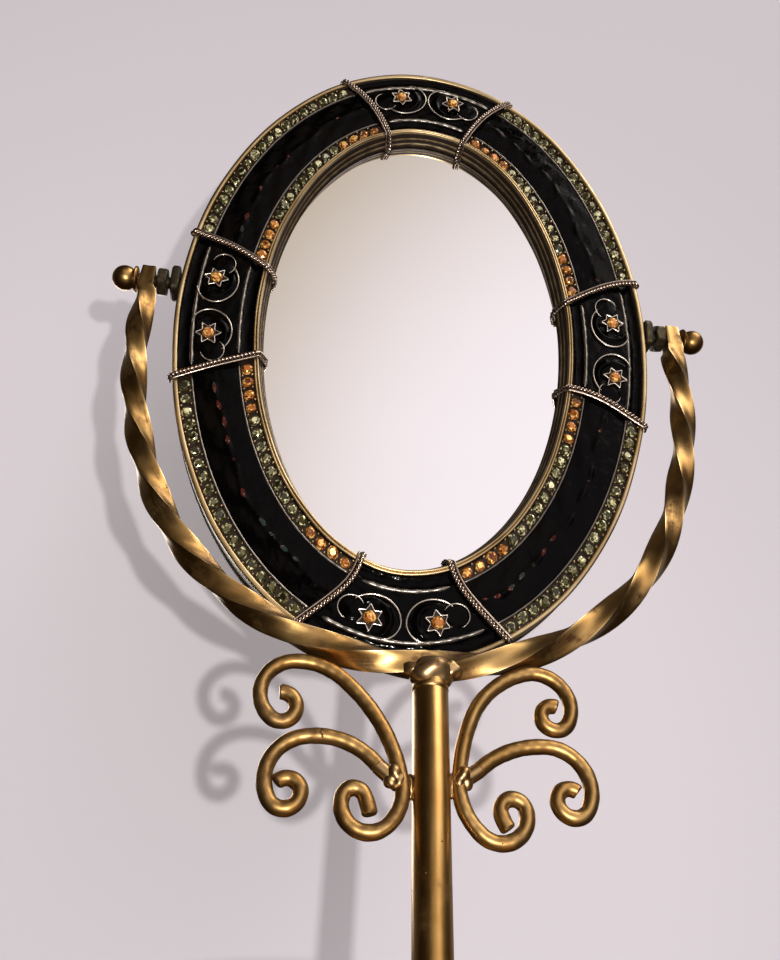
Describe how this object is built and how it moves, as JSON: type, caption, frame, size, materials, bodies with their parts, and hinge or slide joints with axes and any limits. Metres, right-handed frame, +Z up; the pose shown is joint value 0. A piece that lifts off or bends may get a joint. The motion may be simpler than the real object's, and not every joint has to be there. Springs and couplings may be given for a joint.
{
  "type": "tilting vanity mirror",
  "caption": "Oval table mirror with an enamelled, stone-set frame that tilts in a twisted-bar yoke on a scrolled post and round base.",
  "frame": {"origin": "on the ground under the middle of the yoke", "axes": "+Z up, +X along the pivot axis to the mirror's right as seen from the front, the mirror faces -Y"},
  "size_m": [0.1952, 0.126, 0.3286],
  "materials": {
    "antique_brass": "antique gold paint rubbed over dark brown",
    "pad_felt": "black felt",
    "bolt_steel": "zinc-plated",
    "gilt_frame": "worn gilt edges over dark metal",
    "dark_iron": "dark olive-brown patina",
    "black_enamel": "glossy black epoxy enamel",
    "stones": "faceted olive and amber stones",
    "star_setting": "silver wire star with amber stone",
    "twisted_wire": "antiqued copper-silver wire",
    "silvered_glass": "silvered plain glass",
    "backing_card": "grey card",
    "screw_brass": "dull"
  },
  "bodies": {
    "stand": {"base_disc": "antique_brass", "base_pad": "pad_felt", "base_bolt": "bolt_steel", "base_washer": "bolt_steel", "post_collar": "antique_brass", "post": "antique_brass", "weld_cap": "antique_brass", "yoke_bar": "antique_brass", "scroll_large_left": "antique_brass", "scroll_large_right": "antique_brass", "scroll_branch_left": "antique_brass", "scroll_branch_right": "antique_brass"},
    "mirror_head": {"back_cover": "antique_brass", "backing_board": "backing_card", "cover_screw_lower_left": "screw_brass", "cover_screw_lower_right": "screw_brass", "cover_screw_upper_left": "screw_brass", "cover_screw_upper_right": "screw_brass", "enamel_field_lower_left": "black_enamel", "enamel_field_lower_right": "black_enamel", "enamel_field_upper_left": "black_enamel", "enamel_field_upper_right": "black_enamel", "enamel_panel_bottom": "black_enamel", "enamel_panel_left": "black_enamel", "enamel_panel_right": "black_enamel", "enamel_panel_top": "black_enamel", "jam_nut_left": "dark_iron", "jam_nut_right": "dark_iron", "mirror_frame": "gilt_frame", "mirror_glass": "silvered_glass", "pivot_lug_left": "dark_iron", "pivot_lug_right": "dark_iron", "pivot_stud_left": "dark_iron", "pivot_stud_right": "dark_iron", "star_bottom_after": "star_setting", "star_bottom_before": "star_setting", "star_left_after": "star_setting", "star_left_before": "star_setting", "star_right_after": "star_setting", "star_right_before": "star_setting", "star_top_after": "star_setting", "star_top_before": "star_setting", "stone_row_inner_lower_left": "stones", "stone_row_inner_lower_right": "stones", "stone_row_inner_upper_left": "stones", "stone_row_inner_upper_right": "stones", "stone_row_outer_lower_left": "stones", "stone_row_outer_lower_right": "stones", "stone_row_outer_upper_left": "stones", "stone_row_outer_upper_right": "stones", "wire_band_bottom_after": "twisted_wire", "wire_band_bottom_before": "twisted_wire", "wire_band_left_after": "twisted_wire", "wire_band_left_before": "twisted_wire", "wire_band_right_after": "twisted_wire", "wire_band_right_before": "twisted_wire", "wire_band_top_after": "twisted_wire", "wire_band_top_before": "twisted_wire"},
    "knob_left": {"ball_knob_left": "antique_brass"},
    "knob_right": {"ball_knob_right": "antique_brass"}
  },
  "joints": [
    {"name": "head_tilt", "type": "hinge", "parent": "stand", "child": "mirror_head", "pos_m": [0, 0, 0.2305], "axis": [1, 0, 0], "continuous": true},
    {"name": "knob_left_turn", "type": "hinge", "parent": "mirror_head", "child": "knob_left", "pos_m": [-0.0936, 0, 0.2305], "axis": [-1, 0, 0], "range_deg": [-180, 180]},
    {"name": "knob_right_turn", "type": "hinge", "parent": "mirror_head", "child": "knob_right", "pos_m": [0.0936, 0, 0.2305], "axis": [1, 0, 0], "range_deg": [-180, 180]}
  ]
}
